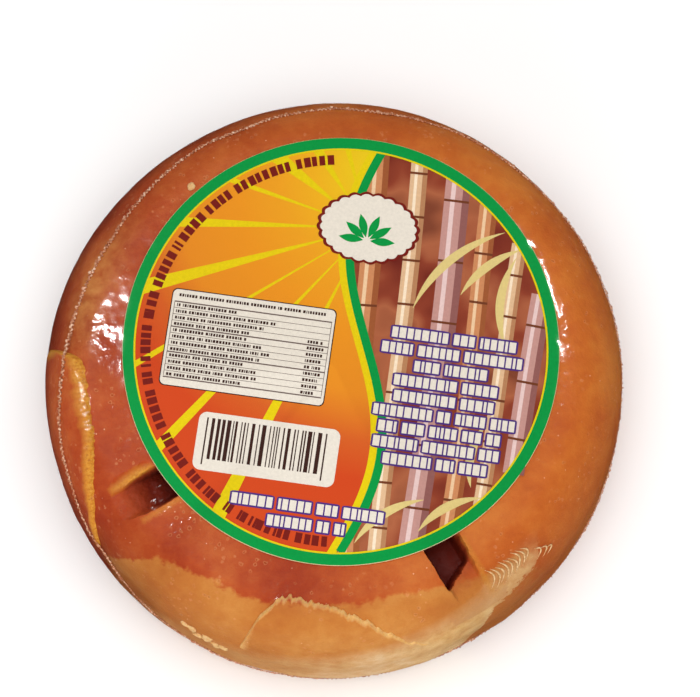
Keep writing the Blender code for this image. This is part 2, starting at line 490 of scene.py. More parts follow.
# Borders of the loaf's colours, as (angle, drop) in degrees and millimetres
TAN_BORDER = [
    (214, 24), (220, 17), (223, 11.5), (228, 6), (232, 4.0), (241, 2.8), (253, 2.8), (262, 1.8),
    (286, 1.4), (294, 3.0), (300, 3.2), (306, 5.0), (318, 7.0),
]
TAN_LEFT = 216
TAN_RIGHT = 314
CREAM_LOWER_BORDER = [
    (285, 70), (292, 60), (296, 44), (298.5, 32), (300.5, 25), (301.7, 20.8), (302.6, 18.6),
    (304, 16), (309, 15), (311, 14.2), (313, 13.2), (316, 13.4), (319, 9), (322, 4),
]
CREAM_STRENGTH = [
    (228, 0.0), (240, 0.2), (255, 0.34), (270, 0.55), (284, 0.85), (296, 1.0), (303, 1.0),
    (307, 0.75), (317, 0.6), (321, 0.0),
]
CREAM_START = [
    (228, 22), (250, 17), (270, 13), (280, 11.5), (294, 9.5), (303, 8.0), (306, 5.2), (316, 4.8),
    (321, 4.8),
]
SHADED_WALL_MIDDLE = 165                # middle of the wall with painted shade, in degrees
# Middle of the brown patch of painted shade low on the right wall, in degrees
SHADE_PATCH_MIDDLE = 312
WARM_SIDE = 18
# Angle in degrees and drop in millimetres of the middle of a painted sheen of the film
PAINTED_SHEEN_SPOT = (161, 5)
BASE_WARMTH = 0.35
FAR_INSIDE = 30.0
FAR_AWAY = 99.0


def border(degrees, points):
    return np.interp(degrees, [a for a, _ in points], [d for _, d in points])


def paint_zones(piece, broken=None, pale=0.0, groove=None):
    """Stores where the loaf is tan, cream or broken, where painted shade darkens it and where a painted
    sheen lightens it, from the place of each vertex.
    """
    places = vertices_of(piece)
    degrees, drop = polar_of(places)
    drop = drop / MM
    below_shoulder = rise(drop, 12, 6)
    waver = 6.0 * grain(places, 9 * MM, 9.0, 3) * below_shoulder
    tan = drop - border(degrees, TAN_BORDER)
    tan = np.minimum(tan, (degrees - TAN_LEFT) * DEGREE_ARC / MM + waver)
    tan = np.minimum(tan, np.clip((TAN_RIGHT - degrees) / 9, -1, 1) * 1.6)
    cream = border(degrees, CREAM_STRENGTH) * rise(drop, border(degrees, CREAM_START), 6)
    cream_edge = border(degrees, CREAM_LOWER_BORDER) - drop
    # Painted shade: the wall darker below the shoulder, most round the left and fading to either side
    from_shaded_wall = np.abs((degrees - SHADED_WALL_MIDDLE + 180) % 360 - 180)
    wall = rise(drop, 10, 9) * (1 - rise(from_shaded_wall, 47, 35))
    # Painted shade: a brown patch low on the right wall, turned from the light
    near_shade_patch = np.clip(0.6 - np.abs(degrees - SHADE_PATCH_MIDDLE) / 40, 0, 1)
    brown = np.where(degrees > 200, near_shade_patch, 0.0) * below_shoulder
    warm = np.clip(0.35 + 0.7 * np.cos(np.radians(degrees - WARM_SIDE)), 0, 1)
    on_base = (1 - rise(radius_of(places) / MM, 52.4, 5)) * (places[:, 2] < MM)
    store(piece, {
        "tan": np.minimum(tan, 3 - 8 * on_base),
        "cream": cream * (1 - on_base),
        "cream_edge": np.where(degrees > 280, cream_edge, FAR_INSIDE),
        "brown": brown * (1 - on_base),
        "warm": warm + (BASE_WARMTH - warm) * on_base,
        "wall": wall * (1 - on_base),
        # Painted sheen of the film: a soft lighter patch high on the left
        "painted_sheen": np.exp(-((degrees - PAINTED_SHEEN_SPOT[0]) / 15) ** 2 - ((drop - PAINTED_SHEEN_SPOT[1]) / 4.2) ** 2),
        "broken": np.full(len(places), FAR_AWAY) if broken is None else broken,
        "pale": np.full(len(places), pale),
        "groove": np.zeros(len(places)) if groove is None else groove,
    })


# Pieces of jaggery
def make_loaf():
    """The cast loaf: spun, and made slightly oval and uneven."""
    top = [(r * MM, LOAF_HEIGHT) for r in LOAF_TOP_RINGS]
    fine = np.arange(0, LOAF_FINE_DROP, 0.5)
    coarse = np.arange(LOAF_FINE_DROP, DROPS[-1] / MM, 0.9)
    side = profile_points(np.concatenate([fine, coarse]) * MM)
    base = [(r * MM, BASE_GAP) for r in LOAF_BASE_RINGS]
    loaf = spun("jaggery_loaf", top + side + base, LOAF_STEPS)
    places = vertices_of(loaf)
    angle = np.arctan2(places[:, 1], places[:, 0])
    radius = radius_of(places)
    places[:, :2] *= (plan_radius(radius, angle) / np.maximum(radius, MM))[:, None]
    lumps = grain(places, 16 * MM, 1.0, 3) * 0.22 * MM + grain(places, 2.2 * MM, 2.0, 2) * 0.05 * MM
    inward = -np.abs(lumps) * rise(radius, 40 * MM, 6 * MM)
    normals = np.empty(len(places) * 3)
    loaf.data.vertices.foreach_get("normal", normals)
    places = places + normals.reshape(-1, 3) * inward[:, None]
    places[:, 2] = np.maximum(places[:, 2], BASE_GAP)
    move_vertices(loaf, places)
    return loaf


def left_groove_depth(along, across):
    """A scoop, steep on its upper side, its floor rising to the surface, with a chipped rim.
    Millimetres, and negative where nothing is cut."""
    depth = np.interp(along, [0, 39.5, 43.5, 46.5, 49.5, 53.0], [7.0, 6.6, 4.9, 2.7, 0.9, -0.8])
    section = smooth(-4.1, -2.9, across) * (1 - smooth(1.8, 4.5, across) ** 1.3)
    chip = between(across, -6.2, -4.9, -3.2, -1.6) * between(along, 40.5, 43.5, 48.5, 51.5)
    return np.maximum(depth * section - 1.2 * (1 - section), 0.5 * chip - 0.25 * (1 - chip))


def right_groove_depth(along, across):
    """A trench that ends in a slanting wall, and a shallow ramp beyond it. Millimetres."""
    end = 43.4 + (2.4 - across) * 0.5
    deep = (1 - smooth(end - 1.3, end + 1.1, along)) * between(across, -4.7, -3.7, 1.4, 3.8)
    section = between(across, -4.8, -3.2, 2.2, 3.6)
    ramp = np.interp(along, [40, 44, 54], [1.7, 1.7, -0.5]) * section - 1.0 * (1 - section)
    return np.maximum(6.6 * deep - 1.0 * (1 - deep), ramp)


def groove_place(places, run):
    """Millimetres along and across a groove for each point."""
    offset = (places[:, :2] - GROOVE_MEETING) / MM
    along = offset[:, 0] * math.cos(run) + offset[:, 1] * math.sin(run)
    across = -offset[:, 0] * math.sin(run) + offset[:, 1] * math.cos(run)
    return along, across


def make_groove_cutter(name, run, depth_at, end):
    """A block whose underside follows the loaf's surface, less the depth of the groove."""
    cutter, places = grid(name, 110, 84)
    along = np.interp(places[:, 0] + 0.5, [0, 0.15, 1], [GROOVE_START, GROOVE_OPEN, end])
    across = places[:, 1] * CUTTER_WIDTH - CUTTER_ASIDE
    spots = np.stack([
        GROOVE_MEETING[0] + (math.cos(run) * along - math.sin(run) * across) * MM,
        GROOVE_MEETING[1] + (math.sin(run) * along + math.cos(run) * across) * MM,
        np.zeros(len(places)),
    ], axis=1)
    wobble = grain(spots, 3.0 * MM, run, 2) * 0.22 + grain(spots, 0.8 * MM, run + 3, 2) * 0.12
    depth = depth_at(along + wobble, across + wobble) + grain(spots, 1.6 * MM, run + 5, 3) * 0.15
    spots[:, 2] = surface_height(radius_of(spots)) - depth * MM
    move_vertices(cutter, spots)
    upward = {"TRANSFORM_OT_translate": {"value": (0, 0, CUTTER_HEIGHT)}}
    edit(cutter, (bpy.ops.mesh.extrude_region_move, upward), FACE_OUTWARD)
    return cutter


def cut_grooves(loaf):
    for name, run, depth_at, end in (
        ("groove_left", GROOVE_LEFT_RUN, left_groove_depth, GROOVE_LEFT_END),
        ("groove_right", GROOVE_RIGHT_RUN, right_groove_depth, GROOVE_RIGHT_END),
    ):
        cutter = make_groove_cutter(name, run, depth_at, end)
        apply_modifier(loaf, "BOOLEAN", object=cutter, operation="DIFFERENCE", solver="EXACT")
        bpy.data.objects.remove(cutter, do_unlink=True)
    smooth_shaded(loaf, 38)


def groove_depths(piece):
    """How far each vertex in a groove lies below the uncut top and shoulder, in millimetres."""
    places = vertices_of(piece)
    depth = (surface_height(radius_of(places)) - places[:, 2]) / MM
    near = np.zeros(len(places), dtype=bool)
    for run in (GROOVE_LEFT_RUN, GROOVE_RIGHT_RUN):
        along, across = groove_place(places, run)
        near |= (along > GROOVE_START) & (along < GROOVE_REACH) & (np.abs(across) < GROOVE_SIDE)
    near &= places[:, 2] > 27 * MM
    return np.where(near, np.maximum(depth - 0.35, 0), 0)


def groove_crumbs(piece):
    """Signed distance in millimetres to the pale broken rims of the grooves, negative inside."""
    places = vertices_of(piece)
    along, across = groove_place(places, GROOVE_LEFT_RUN)
    facet_width = np.interp(along, [41, 44, 51], [0.1, 1.2, 0.3])
    facet = np.maximum(np.abs(across + 4.0) - facet_width, np.abs(along - 46) - 4.6)
    lower = np.maximum(np.abs(across - 4.4) - 0.05, np.abs(along - 43.0) - 5.0)
    along, across = groove_place(places, GROOVE_RIGHT_RUN)
    right = np.maximum(np.abs(across - 3.4) - 0.02, np.abs(along - 45.0) - 5.5)
    nearest = np.minimum(np.minimum(facet, lower), right)
    return np.where(places[:, 2] > 28 * MM, nearest, FAR_AWAY)


def crust_edge_drop(layer, degrees):
    """Where a layer's upper edge lies, with its ragged breaks, worked out for each angle."""
    seed = layer["seed"]
    before = degrees < layer["peak"]
    reach = np.where(before, layer["peak"] - layer["start"], layer["end"] - layer["peak"])
    share = np.clip(np.abs(degrees - layer["peak"]) / reach, 0, 1)
    power = np.where(before, layer["start_power"], layer["end_power"])
    drop = layer["upper_drop"] + (layer["end_drop"] - layer["upper_drop"]) * share ** power
    spots = np.stack([degrees, np.full_like(degrees, seed), np.zeros_like(degrees)], axis=1)
    ragged = grain(spots, 3.4, seed, 2) * 0.9 + grain(spots, 0.9, seed + 2, 3) * 0.45
    scallops = np.abs(np.sin(np.radians(degrees * 62 + 90 * grain(spots, 2.0, seed + 5, 2))))
    return drop + (ragged - 0.35 * scallops) * layer["jag"] * MM


def make_crust(name, layer):
    """A thin broken sheet of crust, wrapped on the shoulder, its upper edge a broken face."""
    start, end, seed = layer["start"], layer["end"], layer["seed"]
    crust, places = grid(name, round((end - start) * CRUST_COLUMNS_PER_DEGREE), CRUST_ROWS)
    degrees = start + (end - start) * (places[:, 0] + 0.5)
    upper = crust_edge_drop(layer, degrees)
    drop = upper + (CRUST_LOWER_DROP - upper) * np.clip(0.5 - places[:, 1], 0, 1) ** 1.6
    side_spots = np.stack([drop / MM, degrees * 0, degrees * 0 + seed], axis=1)
    from_side = np.minimum(degrees - start, end - degrees) * DEGREE_ARC
    from_side = from_side + grain(side_spots, 2.0, seed, 3) * 0.5 * MM
    from_edge = np.minimum(drop - upper, from_side + layer["side_start"])
    spots = skin(np.radians(degrees), drop)
    narrow = np.interp(degrees, [start + 5, start + 20], [1.0, layer["narrowing"]])
    slope = layer["slope"] * narrow * (1 + 0.3 * grain(spots, 5 * MM, seed, 2))
    share = np.clip(from_edge / np.maximum(slope, 0.2 * MM), 0, 1)
    risen = 1 - (1 - share) ** layer["rise_power"]
    fade = rise(drop, CRUST_FADE_DROP, CRUST_LOWER_DROP - CRUST_FADE_DROP)
    crumble = grain(spots, 1.1 * MM, seed + 4, 2) * 0.07 * MM * (1 - share)
    swell = grain(spots, 6 * MM, seed, 3) * 0.12 * MM
    lift = layer["thickness"] * risen + 0.08 * MM + crumble + swell * risen
    lift = lift * (1 - fade) - 0.5 * MM * fade - CRUST_SUNK_EDGE * (1 - share) ** 5
    move_vertices(crust, skin(np.radians(degrees), drop, lift))
    side_rim = from_side * layer["side_rim"] + layer["side_start"]
    rim = (np.minimum(drop - upper, side_rim) - slope * 0.8) / MM
    paint_zones(crust, broken=rim, pale=layer["pale"])
    apply_modifier(crust, "SOLIDIFY", thickness=CRUST_ROOT, offset=-1.0)
    return smooth_shaded(crust)


def make_crumb(name, degrees, drop, width, length, height, seed):
    """A loose flake of crust pressed on the loaf: a lumpy flattened ball, half sunk."""
    deselect()
    bpy.ops.mesh.primitive_ico_sphere_add(subdivisions=3, radius=1)
    crumb = named(name)
    places = vertices_of(crumb)
    places = places * (1 + 0.35 * grain(places, 0.9, seed, 3)[:, None])
    down = drop * MM + places[:, 1] * length / 2 * MM
    around = math.radians(degrees) + places[:, 0] * width / 2 * MM / LOAF_RADIUS
    move_vertices(crumb, skin(around, down, places[:, 2] * height * MM))
    paint_zones(crumb, broken=np.full(len(places), -1.0), pale=2.0)
    return smooth_shaded(crumb, 45)


def make_crumbs():
    """A run of small flakes low on the left, as one piece, and one flake at the top left."""
    draw = random.Random(7)
    crumbs = [
        make_crumb(
            f"crumb_{number}",
            239.6 + 1.05 * number + draw.uniform(-0.6, 0.6),
            19.6 + 0.45 * number + draw.uniform(-1.6, 1.6),
            draw.uniform(1.0, 2.6), draw.uniform(1.0, 2.8), draw.uniform(0.35, 0.6), number + 1.0,
        )
        for number in range(CRUMB_COUNT)
    ]
    low_left = join(crumbs, "crumbs_low_left")
    return [low_left, make_crumb("crumb_top_left", 128.0, 0.6, 2.0, 1.6, 0.4, 30.0)]


def jaggery_material():
    """Cast unrefined cane sugar: dense, slightly translucent, red-brown where it touched the
    mould's floor, tan and chalky on the wall, and crumbly yellow where the crust broke."""
    paint = Paint("cast_cane_sugar")
    zone = {
        name: paint.attribute(name)
        for name in (
            "tan", "cream", "cream_edge", "brown", "warm", "wall", "painted_sheen", "broken", "pale", "groove",
        )
    }
    product, share, blend = paint.product, paint.share, paint.blend
    clouds = paint.noise(17 * MM, 3.0, 0.5)
    mottle = paint.noise(2.6 * MM, 4.0, 0.6)
    fine = paint.noise(0.6 * MM, 3.0, 0.65)
    tone = paint.math("MULTIPLY_ADD", fine, 0.12, clouds)
    tone = share(paint.math("MULTIPLY_ADD", mottle, 0.42, tone), 0.54, 0.97)

    # The main tones: red, orange and tan, then painted shade on the wall and a hazy painted sheen high
    # on the left
    red = paint.ramp(tone, [(0.0, "#9C3618"), (0.5, "#AE4820"), (1.0, "#BC5E2C")])
    orange = paint.ramp(tone, [(0.0, "#BC5C24"), (0.5, "#C96D29"), (1.0, "#D47F33")])
    tan_tone = paint.ramp(tone, [(0.0, "#B4682D"), (0.5, "#BE7635"), (1.0, "#CA8944")])
    base = blend(zone["warm"], red, orange)
    base = blend(share(paint.vary(zone["tan"], mottle, 4.5), -0.5, 0.5), base, tan_tone)
    # Painted shade: the wall blended towards a dark red-brown
    base = blend(zone["wall"], base, blend(0.65, base, "#7C2A15"))
    # Painted sheen of the film: a light tan patch, broken by the mottle
    base = blend(product(zone["painted_sheen"], share(mottle, 0.15, 0.75)), base, "#D0904E")

    # The cream patch, feathered above and broken off below, with brown painted shade beyond it
    feather = paint.math("MULTIPLY_ADD", share(mottle, 0.3, 0.65), 0.4, 0.62)
    feather = paint.math("MULTIPLY", feather, zone["cream"], clamp=True)
    inside = share(paint.vary(zone["cream_edge"], paint.noise(1.2 * MM, 3.0, 0.6), 7.0), -0.25, 0.35)
    outside = paint.math("SUBTRACT", 1.0, inside)
    pale_tone = paint.ramp(tone, [(0.0, "#D7AA6A"), (0.6, "#E2BE88"), (1.0, "#E9CDA4")])
    # Painted shade: brown beyond the cream patch
    base = blend(product(zone["brown"], outside), base, "#B5612E")
    base = blend(product(feather, inside), base, pale_tone)

    # Broken crust: yellow, tan or cream crumbs
    crumb_yellow = paint.ramp(fine, [(0.3, "#B26A26"), (0.5, "#CC882E"), (0.72, "#DAA044")])
    crumb_tan = paint.ramp(fine, [(0.3, "#D59A4E"), (0.7, "#F0C684")])
    crumb_cream = paint.ramp(fine, [(0.3, "#D5A163"), (0.7, "#E3BE88")])
    crumb = blend(share(zone["pale"], 0.0, 1.0), crumb_yellow, crumb_tan)
    crumb = blend(share(zone["pale"], 1.0, 2.0), crumb, crumb_cream)
    softness = paint.math("MULTIPLY_ADD", share(zone["pale"], 1.0, 0.0), 0.35, 0.5)
    edge = paint.math("DIVIDE", paint.vary(zone["broken"], fine, 1.6), softness)
    base = blend(share(edge, 1.0, -1.0), base, crumb)

    # Painted shade: darker with the depth of the grooves
    depth = paint.vary(zone["groove"], mottle, 1.2)
    for low, high, colour in ((0.2, 1.5, "#A2401F"), (1.2, 4.0, "#70200F"), (3.8, 6.6, "#56160E")):
        base = blend(share(depth, low, high), base, colour)

    # Small bubbles with a pale ring, and pale dots painted as tiny glints of light, both sparse and out
    # of the grooves
    open_top = share(depth, 0.8, 0.2)
    stirred = paint.add("ShaderNodeVectorMath", {
        0: paint.noise(0.9 * MM, 2.0, output="Color"), 1: (0.9 * MM,) * 3, 2: paint.place,
    }, operation="MULTIPLY_ADD").outputs[0]
    speck = paint.cells(stirred, 1.5 * MM)
    ring = product(share(speck, 0.30, 0.20), share(speck, 0.10, 0.18))
    sparse = product(share(paint.noise(7 * MM, 2.0), 0.5, 0.6), open_top)
    base = blend(product(product(ring, sparse), 0.36), base, "#DE9866")
    painted_glints = share(paint.cells(paint.place, 2.3 * MM), 0.075, 0.045)
    painted_glints = product(painted_glints, share(paint.noise(9 * MM, 2.0), 0.48, 0.56))
    base = blend(product(product(painted_glints, 0.6), open_top), base, "#F4C9A2")

    relief = paint.math("MULTIPLY_ADD", fine, 0.35, mottle)
    pits = product(share(speck, 0.17, 0.07), sparse)
    relief = paint.math("MULTIPLY_ADD", pits, -0.8, relief)
    return paint.finish(paint.principled({
        "Base Color": base, "Normal": paint.bump(relief, 0.65, 0.35 * MM), "Roughness": 0.5,
        "Specular IOR Level": 0.12, "Subsurface Weight": 0.1, "Subsurface Scale": 1.0 * MM,
        "Subsurface Radius": (1.0, 0.45, 0.2),
    }))


# Film
def film_lifts(core):
    """How far the taut film stands off the plain loaf, on a grid of angles and drops."""
    angles = np.arange(FILM_COLUMNS) * math.tau / FILM_COLUMNS
    drops = np.concatenate([
        np.linspace(-TOP_RADIUS + 0.5 * MM, -0.4 * MM, FILM_TOP_ROWS),
        np.linspace(0, DROPS[-1], FILM_SIDE_ROWS),
    ])
    grid_angle, grid_drop = np.meshgrid(angles, drops)
    starts = skin(grid_angle, grid_drop, RAY_START).reshape(-1, 3)
    ends = skin(grid_angle, grid_drop, 0.0).reshape(-1, 3)
    lifts = np.full(len(starts), -0.3 * MM)
    for index, (start, end) in enumerate(zip(starts, ends)):
        start = Vector(start)
        ahead = Vector(end - starts[index]).normalized()
        hit, spot, _, _ = core.ray_cast(start, ahead, distance=RAY_START + MM)
        if hit:
            lifts[index] = RAY_START - (start - spot).length
    lifts = lifts.reshape(grid_drop.shape) + FILM_GAP
    taut = lifts.copy()
    for _ in range(FILM_PULLS):
        around = (np.roll(taut, 1, axis=1) + np.roll(taut, -1, axis=1)) / 2
        along = taut.copy()
        along[1:-1] = (taut[:-2] + taut[2:]) / 2
        taut = np.maximum(lifts, 0.25 * around + 0.75 * along)
    return drops, taut


def make_film(pieces):
    """Film drawn on to the loaf, its crust and its label, and bridging their steps."""
    core = join([copy_of(piece) for piece in pieces], "film_core")
    drops, taut = film_lifts(core)
    bpy.data.objects.remove(core, do_unlink=True)
    base = [(r * MM, FILM_BASE) for r in FILM_BASE_RINGS]
    outline = [(0.0, LOAF_HEIGHT)] + profile_points(drops) + base + [(0, FILM_BASE)]
    film = spun("shrink_film", outline, FILM_COLUMNS)
    places = vertices_of(film)
    degrees, drop = polar_of(places)
    radius = radius_of(places)
    on_base = (places[:, 2] < 0.05 * MM) & (radius < 57 * MM)
    centre = radius < 0.3 * MM
    column = np.rint(degrees / 360 * FILM_COLUMNS).astype(int) % FILM_COLUMNS
    row = np.clip(np.searchsorted(drops, drop - 0.05 * MM), 0, len(drops) - 1)
    lift = np.where(centre, taut[0].mean(), taut[row, column])
    lifted = skin(np.radians(degrees), drops[row], lift)
    lifted[:, 2] = np.maximum(lifted[:, 2], FILM_BASE)
    lifted[centre, :2] = places[centre, :2]
    lifted[centre, 2] = LOAF_HEIGHT + lift[centre]
    turn = np.radians(degrees)
    folds = 0.05 * MM * (1 + np.sin(turn * 46 + 2 * np.sin(turn * 7)))
    places[:, 2] += folds * rise(radius, 4 * MM, 20 * MM) * (1 - rise(radius, 47 * MM, 8 * MM))
    move_vertices(film, np.where(on_base[:, None], places, lifted))

    from_label = np.hypot(places[:, 0] - LABEL_CENTRE.x, places[:, 1] - LABEL_CENTRE.y)
    on_crust = between(degrees, 174, 178, 212, 218) * smooth(1.4 * MM, 2.4 * MM, drop)
    by_groove = between(degrees, 183, 189, 224, 230) * (1 - smooth(0, 3 * MM, drop))
    at_front = between(degrees, 230, 236, 290, 300)
    store(film, {
        "slack": smooth(LABEL_RADIUS - 0.2 * MM, LABEL_RADIUS + 2.2 * MM, from_label),
        "shine": 1 - 0.8 * on_crust - 0.8 * by_groove - 0.75 * at_front,
    })
    return smooth_shaded(film)


def film_material():
    """Clear polyolefin shrink film: a thin skin that bends no light, and shows by soft glints
    where it is finely puckered and by a faint sheen elsewhere."""
    paint = Paint("shrink_film_clear")
    drift = paint.noise(7 * MM, 2.0)
    patch = paint.share(paint.noise(11 * MM, 2.0), 0.44, 0.62, 0.05, 0.55)
    patch = paint.product(patch, paint.attribute("slack"))
    pucker = paint.product(paint.noise(1.25 * MM, 1.5), patch)
    height = paint.math("MULTIPLY_ADD", pucker, 0.9, drift)
    fresnel = paint.add("ShaderNodeFresnel", {"IOR": 1.5}).outputs[0]
    share = paint.share(fresnel, 0.04, 0.7, 0.05, 0.22)
    gloss = paint.principled({
        "Base Color": srgb("#FFFFFF"), "Metallic": 1.0, "Roughness": 0.11,
        "Normal": paint.bump(height, 0.8, 0.42 * MM),
    })
    return paint.finish(paint.see_through(paint.product(share, paint.attribute("shine")), gloss))


def cloudy_film_material(name, tones, thin, thick, roughness):
    """Film gathered or melted: cloudy, paler and denser where it is thick."""
    paint = Paint(name)
    beads = paint.noise(0.8 * MM, 3.0, 0.7)
    solid = paint.principled({
        "Base Color": paint.ramp(beads, tones), "Roughness": roughness, "IOR": 1.5,
    })
    return paint.finish(paint.see_through(paint.share(beads, 0.36, 0.62, thin, thick), solid))


def film_spots(film, degrees, drop):
    """The film's surface at angles and drops, as a list of (spot, normal)."""
    starts = skin(np.radians(degrees), drop, RAY_START)
    ends = skin(np.radians(degrees), drop, 0.0)
    spots = []
    for start, end in zip(starts, ends):
        _, spot, normal, _ = film.ray_cast(Vector(start), Vector(end - start).normalized())
        spots.append((spot, normal))
    return spots


# Trim seal of the film: angle in degrees, drop in millimetres down the profile
SEAL_ROUTE = [
    (0, 24), (12, 21), (24, 18.4), (36, 15.6), (47, 13.4), (64, 12.0), (80, 8.8), (90, 9.6),
    (102, 8.4), (112, 7.8), (126, 8.2), (136, 6.8), (146, 5.9), (154, 6.4), (160, 6.3), (168, 7.2),
    (175, 7.0), (180, 6.6), (184, 7.5), (188, 8.4), (194, 10.4), (199, 11.6), (204, 12.3),
    (207, 13.7), (213, 16.8), (218, 18.6), (222, 21), (226, 27.0), (231, 31.0), (239, 33.0),
    (250, 36.5), (262, 39.5), (285, 40.5), (305, 40.5), (325, 39.0), (345, 32.0), (360, 24),
]


def seal_drop(degrees):
    """A smooth closed curve through the seal's route."""
    route = border(np.arange(0, 360, 1.0), SEAL_ROUTE)
    kernel = np.hanning(9)
    kernel /= kernel.sum()
    route = np.convolve(np.concatenate([route[-4:], route, route[:4]]), kernel, mode="valid")
    return np.interp(degrees % 360, np.arange(0, 361, 1.0), np.append(route, route[0]))


def make_seal(film):
    """The film's trim seal: a thin melted bead with a ragged fin, round the shoulder and wall."""
    degrees = np.arange(SEAL_COUNT) * 360 / SEAL_COUNT
    places = np.stack([degrees, degrees * 0, degrees * 0], axis=1)
    zigzag = np.sin(degrees * 7.1 + 3.0 * grain(places, 2.6, 7.0, 2))
    drift = grain(places, 9.0, 3.0, 3) * 0.35 + grain(places, 1.4, 4.0, 3) * 0.16 + 0.24 * zigzag
    spots = film_spots(film, degrees, (seal_drop(degrees) + drift) * MM)
    widths = np.maximum(0.13 + 0.10 * zigzag ** 2 + 0.05 * grain(places, 0.7, 5.0, 2), 0.06) * MM
    fins = np.clip(0.12 + 0.75 * grain(places, 0.55, 6.0, 3), 0.0, 0.8) * MM
    edge = 0.05 * MM
    rings = []
    for index, (spot, normal) in enumerate(spots):
        along = (spots[(index + 1) % SEAL_COUNT][0] - spots[index - 1][0]).normalized()
        aside = along.cross(normal).normalized()
        width = widths[index]
        tip = spot + (normal * 0.8 + aside * 0.6).normalized() * (width + fins[index] * 0.45)
        rings.append([
            spot - aside * width - normal * edge,
            spot - aside * width * 0.6 + normal * width * 0.8,
            tip - aside * edge,
            tip + aside * edge,
            spot + aside * width * 0.8 + normal * width * 0.6,
            spot + aside * width - normal * edge,
        ])
    return tube("trim_seal", rings, closed=True)


def make_pleat(film, number, degrees, low, high):
    """One arc-shaped pleat: a thin raised bead, tapered to its ends."""
    shares = np.arange(PLEAT_STEPS + 1) / PLEAT_STEPS
    turns = degrees + 1.5 * np.sin(math.pi * shares) - 0.8 * shares
    spots = film_spots(film, turns, (low + (high - low) * shares) * MM)
    rings = []
    for index, (spot, normal) in enumerate(spots):
        before = spots[max(index - 1, 0)][0]
        after = spots[min(index + 1, PLEAT_STEPS)][0]
        aside = (after - before).normalized().cross(normal).normalized()
        size = max(math.sin(math.pi * index / PLEAT_STEPS), 0.12)
        rings.append([
            spot + aside * (across * PLEAT_HALF_WIDTH * size) + normal * (up * PLEAT_HEIGHT * size)
            for across, up in ((-1, -0.3), (-0.45, 0.75), (0.45, 0.75), (1, -0.3))
        ])
    return tube(f"pleat_{number}", rings)


def make_pleats(film):
    """Fine arc-shaped pleats of film over the cream patch: a run of nine and three beyond it."""
    arcs = []
    for k in range(9):
        low = 4.8 + 0.35 * (k % 3) + 0.1 * k
        high = 10.2 + 0.6 * (k % 2) - 0.15 * abs(k - 4)
        arcs.append((306.0 + 1.15 * k, low, high))
    arcs += [(317.6, 9.0, 12.0), (318.8, 10.2, 13.0), (319.9, 11.6, 13.6)]
    pleats = [make_pleat(film, number, *arc) for number, arc in enumerate(arcs)]
    return join(pleats, "film_pleats")


# Label
def label_matrix(u, v, turn=0.0, width=1.0, height=1.0, level=0):
    """Places a shape on the label, u to its right and v up, in its own turned frame."""
    centre = Matrix.Translation((*LABEL_CENTRE, PAPER_TOP + level * INK_STEP))
    own = Matrix.Translation((u, v, 0)) @ Matrix.Rotation(turn, 4, "Z")
    own = own @ Matrix.Diagonal((width, height, 1, 1))
    return centre @ Matrix.Rotation(LABEL_TURN, 4, "Z") @ own


def block_at(u, v, width, height, level, turn=0.0):
    """Places a unit square on the label as a block, in millimetres."""
    return label_matrix(u * MM, v * MM, turn, width * MM, height * MM, level)


def inked(piece):
    return apply_modifier(piece, "SOLIDIFY", thickness=INK_THICKNESS, offset=-1.0)


def laid(piece, level, u=0.0, v=0.0):
    """Lays a flat shape on the label, face up, and gives it the ink's thickness."""
    piece.data.transform(label_matrix(u, v, level=level))
    if piece.data.polygons[0].normal.z < 0:
        piece.data.flip_normals()
    return inked(piece)


def unit_square(name):
    deselect()
    bpy.ops.mesh.primitive_plane_add(size=1)
    return named(name)


def circle(name, vertices, radius, fill):
    deselect()
    bpy.ops.mesh.primitive_circle_add(vertices=vertices, radius=radius, fill_type=fill)
    return named(name)


def stamped(name, source, placements):
    """Copies of one flat shape at many places, joined, with the ink's thickness."""
    copies = []
    for matrix in placements:
        copy = copy_of(source)
        copy.data.transform(matrix)
        copies.append(copy)
    return inked(join(copies, name))


def rounded_panel(name, u, v, width, height, corner, level):
    """A rectangle with rounded corners, printed on the label. Millimetres."""
    panel = unit_square(name)
    panel.data.transform(Matrix.Diagonal((width * MM, height * MM, 1, 1)))
    rounding = {"offset": corner * MM, "segments": 8, "affect": "VERTICES"}
    edit(panel, (bpy.ops.mesh.bevel, rounding))
    return laid(panel, level, u * MM, v * MM)


def spread_edges(scale):
    """Draws a new edge loop out from the selected one, in edit mode."""
    bpy.ops.mesh.extrude_edges_move()
    bpy.ops.transform.resize(value=(scale, scale, 1))


def ring_band(name, inner, outer, level):
    """A printed ring round the label's centre."""
    band = circle(name, 240, inner, "NOTHING")
    edit(band, (spread_edges, {"scale": outer / inner}), FACE_OUTWARD)
    return laid(band, level)


def medallion(name, height, scallop, level):
    """A plain scalloped oval."""
    piece = circle(name, 288, 1, "NGON")
    places = vertices_of(piece)
    angle = np.arctan2(places[:, 1], places[:, 0])
    bulge = scallop * np.abs(np.sin(angle * 12))
    places[:, 0] = np.cos(angle) * (height * 1.42 + bulge)
    places[:, 1] = np.sin(angle) * (height + bulge)
    move_vertices(piece, places)
    return laid(piece, level, SUN.x, SUN.y)


def divider_line(offset):
    """The wavy border between the label's two fields, as points moved aside by an offset."""
    points = []
    for step in range(61):
        v = (-41.6 + 83.2 * step / 60) * MM
        u = (4 - 6 * math.sin(math.tau * (v / MM - 2) / 88)) * MM + offset
        if math.hypot(u, v) < DISC_REACH:
            points.append((u, v))
    return points


def warm_field(name, level):
    """The warm colour field, from the wavy border round the left of the ring."""
    line = divider_line(0.0)
    first = math.atan2(line[0][1], line[0][0])
    last = math.atan2(line[-1][1], line[-1][0])
    sweep = (first - last) % math.tau
    turns = [last + sweep * k / 90 for k in range(91)]
    loop = line + [(DISC_REACH * math.cos(turn), DISC_REACH * math.sin(turn)) for turn in turns]
    return laid(built(name, [(u, v, 0) for u, v in loop], [list(range(len(loop)))]), level)


